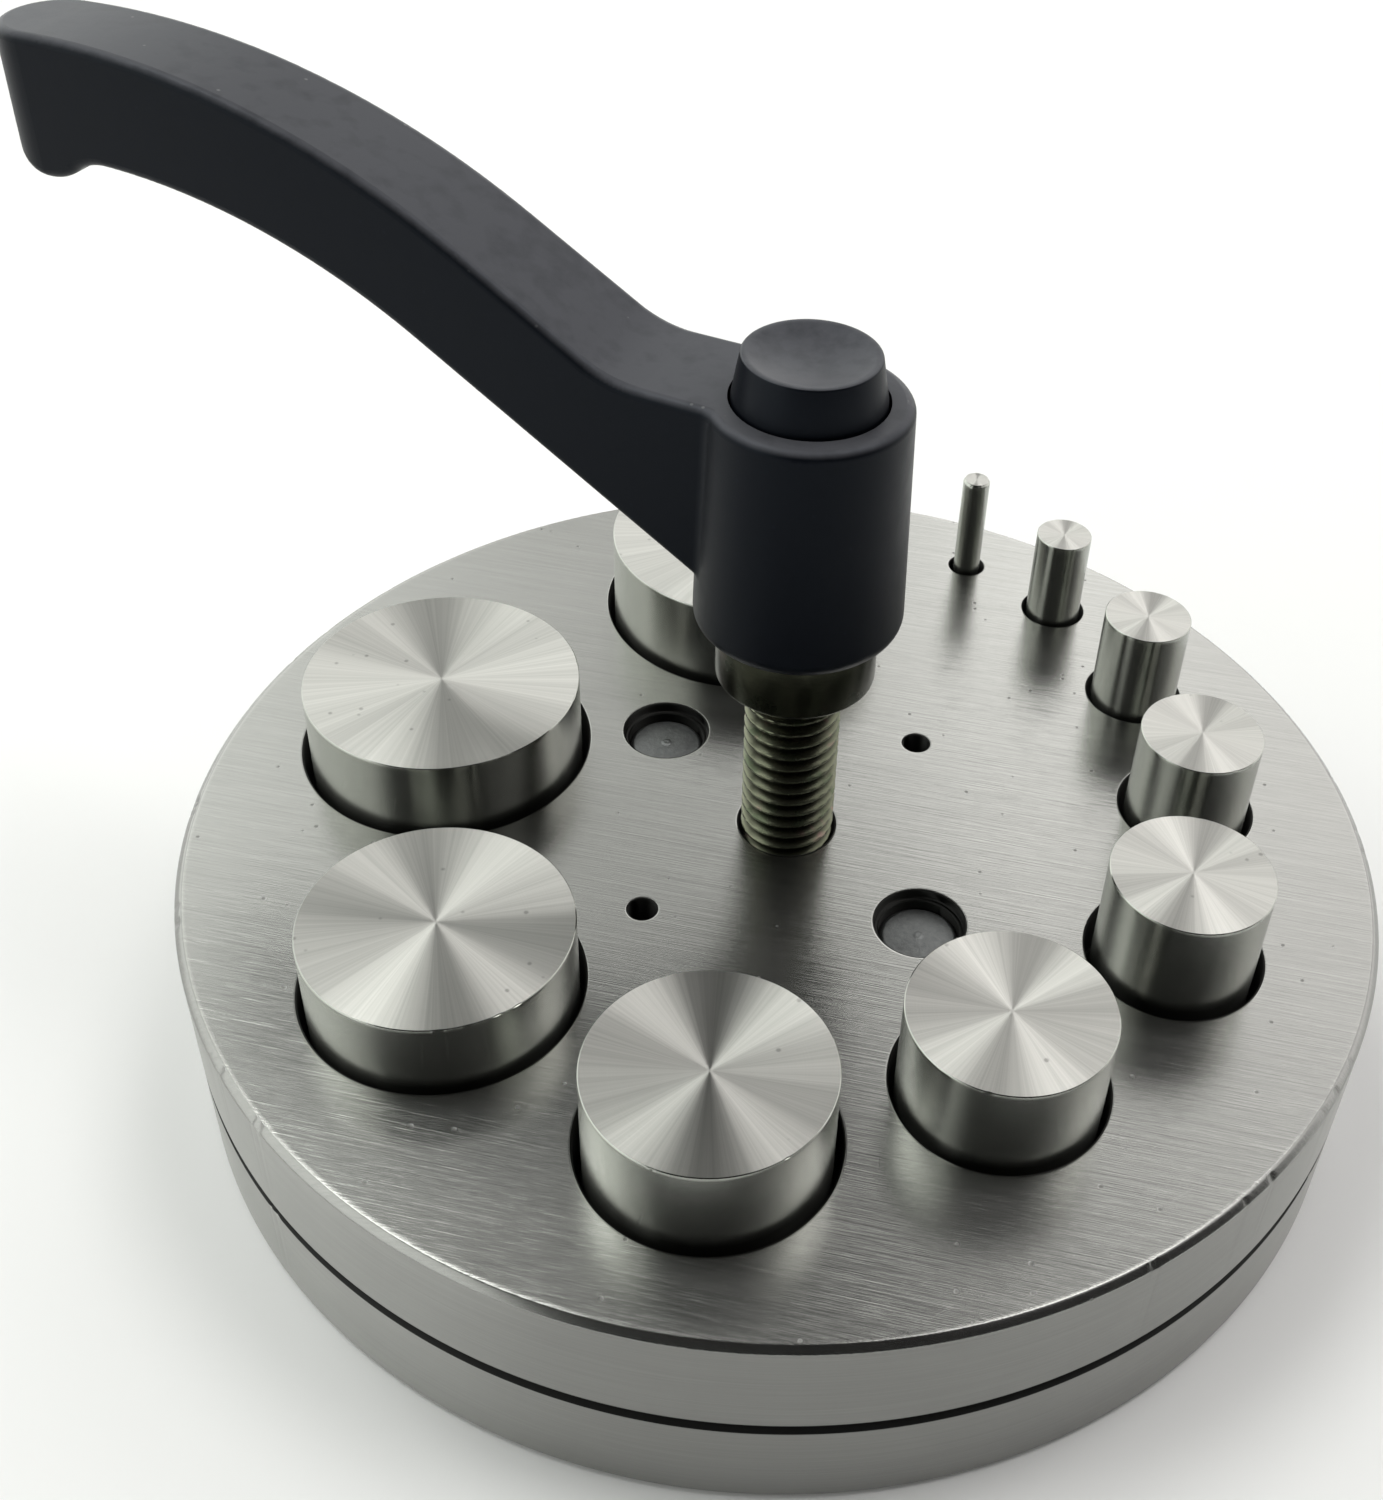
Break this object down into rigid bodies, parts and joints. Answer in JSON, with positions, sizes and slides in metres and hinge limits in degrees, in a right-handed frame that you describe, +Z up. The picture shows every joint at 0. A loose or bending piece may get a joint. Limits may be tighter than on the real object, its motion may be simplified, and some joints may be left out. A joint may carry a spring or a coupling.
{
  "type": "jewelers disc cutter",
  "caption": "Round two-plate disc cutter for sheet metal with a ring of loose punches, two guide pins and a central clamping screw turned by a push-button lever.",
  "frame": {"origin": "centre of the flat underside of the die plate, on the axis of the clamping screw", "axes": "+Z up along the clamping screw; +X to the right and +Y away from the viewer as in the picture, with the lever out to -X and slightly to +Y"},
  "size_m": [0.1371, 0.122, 0.0927],
  "materials": {
    "plate_steel": "ground flat with a fine straight grain",
    "punch_steel": "lathe-faced tops with radial sheen, smooth ground sides",
    "dowel_steel": "dull grey end faces",
    "plated_steel": "zinc plated with a dark yellow-green passivation",
    "spring_steel": "drawn spring wire",
    "black_casting": "fine matt black powder coat on a zinc casting",
    "black_plastic": "fine matt black moulded plastic"
  },
  "bodies": {
    "die_base": {"lower_die_plate": "plate_steel", "guide_pin_left": "dowel_steel", "guide_pin_right": "dowel_steel"},
    "guide_plate": {"upper_guide_plate": "plate_steel"},
    "punch_01_body": {"punch_01": "punch_steel"},
    "punch_02_body": {"punch_02": "punch_steel"},
    "punch_03_body": {"punch_03": "punch_steel"},
    "punch_04_body": {"punch_04": "punch_steel"},
    "punch_05_body": {"punch_05": "punch_steel"},
    "punch_06_body": {"punch_06": "punch_steel"},
    "punch_07_body": {"punch_07": "punch_steel"},
    "punch_08_body": {"punch_08": "punch_steel"},
    "punch_09_body": {"punch_09": "punch_steel"},
    "punch_10_body": {"punch_10": "punch_steel"},
    "clamp_carrier": {"thrust_washer": "plated_steel"},
    "clamp_screw": {"threaded_screw": "plated_steel", "retaining_ring": "spring_steel", "return_spring": "spring_steel"},
    "clamp_lever": {"lever_arm": "black_casting"},
    "release": {"release_button": "black_plastic", "toothed_coupling": "plated_steel"}
  },
  "joints": [
    {"name": "guide_plate_lift", "type": "slide", "parent": "die_base", "child": "guide_plate", "axis": [0, 0, 1], "range_m": [0, 0.008]},
    {"name": "punch_01_lift", "type": "slide", "parent": "die_base", "child": "punch_01_body", "axis": [0, 0, 1], "range_m": [0, 0.024]},
    {"name": "punch_02_lift", "type": "slide", "parent": "die_base", "child": "punch_02_body", "axis": [0, 0, 1], "range_m": [0, 0.024]},
    {"name": "punch_03_lift", "type": "slide", "parent": "die_base", "child": "punch_03_body", "axis": [0, 0, 1], "range_m": [0, 0.024]},
    {"name": "punch_04_lift", "type": "slide", "parent": "die_base", "child": "punch_04_body", "axis": [0, 0, 1], "range_m": [0, 0.024]},
    {"name": "punch_05_lift", "type": "slide", "parent": "die_base", "child": "punch_05_body", "axis": [0, 0, 1], "range_m": [0, 0.024]},
    {"name": "punch_06_lift", "type": "slide", "parent": "die_base", "child": "punch_06_body", "axis": [0, 0, 1], "range_m": [0, 0.024]},
    {"name": "punch_07_lift", "type": "slide", "parent": "die_base", "child": "punch_07_body", "axis": [0, 0, 1], "range_m": [0, 0.024]},
    {"name": "punch_08_lift", "type": "slide", "parent": "die_base", "child": "punch_08_body", "axis": [0, 0, 1], "range_m": [0, 0.024]},
    {"name": "punch_09_lift", "type": "slide", "parent": "die_base", "child": "punch_09_body", "axis": [0, 0, 1], "range_m": [0, 0.024]},
    {"name": "punch_10_lift", "type": "slide", "parent": "die_base", "child": "punch_10_body", "axis": [0, 0, 1], "range_m": [0, 0.024]},
    {"name": "clamp_advance", "type": "slide", "parent": "die_base", "child": "clamp_carrier", "axis": [0, 0, 1], "range_m": [-0.01965, 0]},
    {"name": "clamp_turn", "type": "hinge", "parent": "clamp_carrier", "child": "clamp_screw", "pos_m": [0, 0, 0.0434], "axis": [0, 0, 1], "range_deg": [-4717, 0]},
    {"name": "lever_swing", "type": "hinge", "parent": "clamp_screw", "child": "clamp_lever", "pos_m": [0, 0, 0.0505], "axis": [0, 0, 1], "continuous": true},
    {"name": "button_press", "type": "slide", "parent": "clamp_screw", "child": "release", "axis": [0, 0, 1], "range_m": [-0.0028, 0], "stiffness_N_per_m": 1500, "springref_m": 0.003, "deforming": ["return_spring"]}
  ],
  "couplings": [
    {"joint": "clamp_turn", "follows": "clamp_advance", "rad_per_m": 4188.8}
  ]
}
